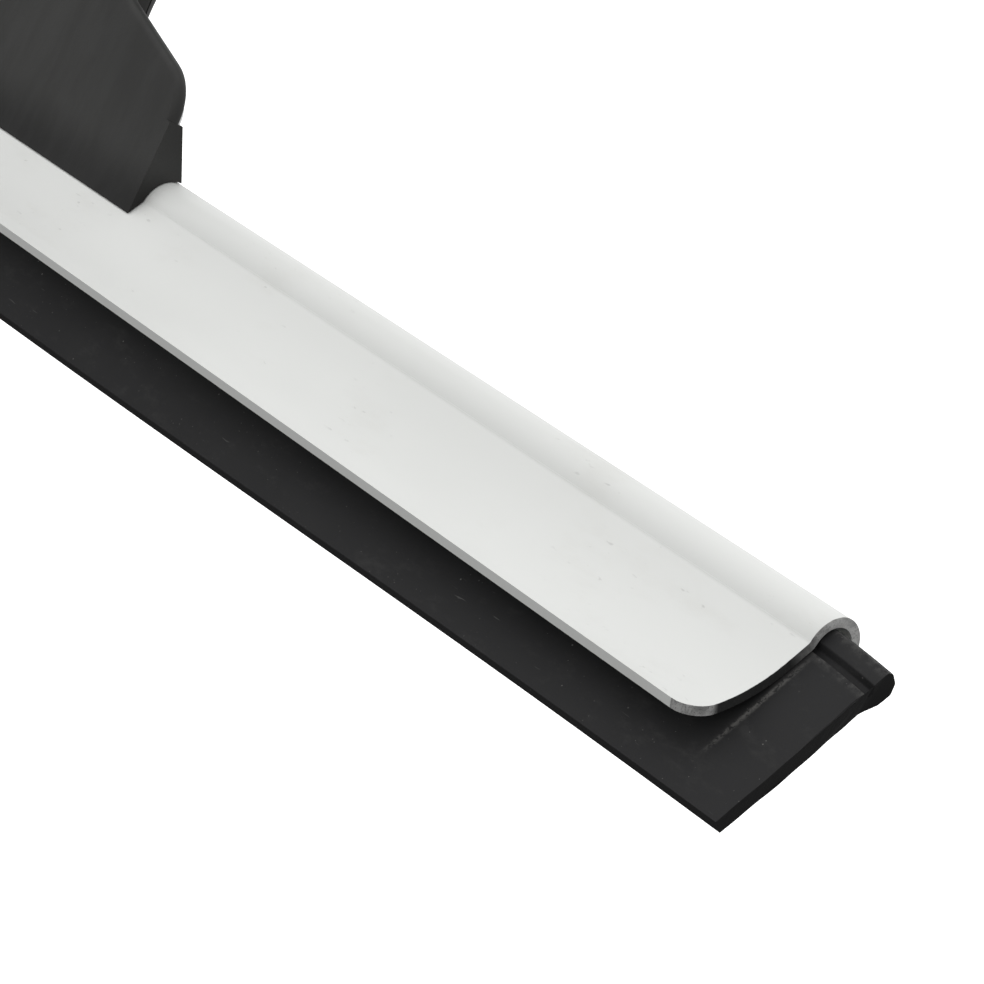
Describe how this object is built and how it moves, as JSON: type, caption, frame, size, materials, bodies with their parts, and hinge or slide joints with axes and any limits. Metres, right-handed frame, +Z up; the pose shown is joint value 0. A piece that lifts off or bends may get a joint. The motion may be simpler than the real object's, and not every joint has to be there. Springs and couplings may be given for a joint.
{
  "type": "window squeegee",
  "caption": "Hand squeegee: angled two-shell handle clamping a painted roll-formed channel that holds a black rubber blade.",
  "frame": {"origin": "centre of the hanging hole in the tail cap", "axes": "+X along the blade, +Z up the handle, -Y the front, towards which the blade slopes"},
  "size_m": [0.3158, 0.0279, 0.1976],
  "materials": {
    "channel_paint": "satin off-white paint, bare cut edges",
    "blade_rubber": "matte, dusty",
    "handle_plastic": "fine moulded texture",
    "jaw_plastic": "glass-filled, slightly coarse",
    "grip_rubber": "soft, dimpled",
    "screw_steel": "zinc plated",
    "insert_brass": "turned"
  },
  "bodies": {
    "handle": {"front_shell": "handle_plastic", "rear_shell": "handle_plastic", "front_grip_pad": "grip_rubber", "rear_grip_pad": "grip_rubber", "tail_cap": "handle_plastic", "shell_screws": "screw_steel", "threaded_inserts": "insert_brass"},
    "channel": {"blade_channel": "channel_paint"},
    "rubber": {"squeegee_rubber": "blade_rubber"},
    "clamp": {"clamp_jaw": "jaw_plastic", "jaw_pad": "grip_rubber", "clamp_washers": "screw_steel"},
    "left_screw": {"clamp_screw_left": "screw_steel"},
    "right_screw": {"clamp_screw_right": "screw_steel"}
  },
  "joints": [
    {"name": "clamp_screw_left_turn", "type": "hinge", "parent": "clamp", "child": "left_screw", "pos_m": [-0.0105, 0.0089, -0.1611], "axis": [0, 1, 0], "range_deg": [0, 1440]},
    {"name": "clamp_screw_right_turn", "type": "hinge", "parent": "clamp", "child": "right_screw", "pos_m": [0.0105, 0.0089, -0.1611], "axis": [0, 1, 0], "range_deg": [0, 1440]},
    {"name": "clamp_open", "type": "slide", "parent": "handle", "child": "clamp", "axis": [0, 1, 0], "range_m": [0, 0.0028]},
    {"name": "channel_slide", "type": "slide", "parent": "handle", "child": "channel", "axis": [1, 0, 0], "range_m": [-0.1, 0.1]},
    {"name": "rubber_slide", "type": "slide", "parent": "channel", "child": "rubber", "axis": [1, 0, 0], "range_m": [-0.3, 0.3]}
  ],
  "couplings": [
    {"joint": "clamp_screw_left_turn", "follows": "clamp_open", "rad_per_m": 8976},
    {"joint": "clamp_screw_right_turn", "follows": "clamp_open", "rad_per_m": 8976}
  ]
}
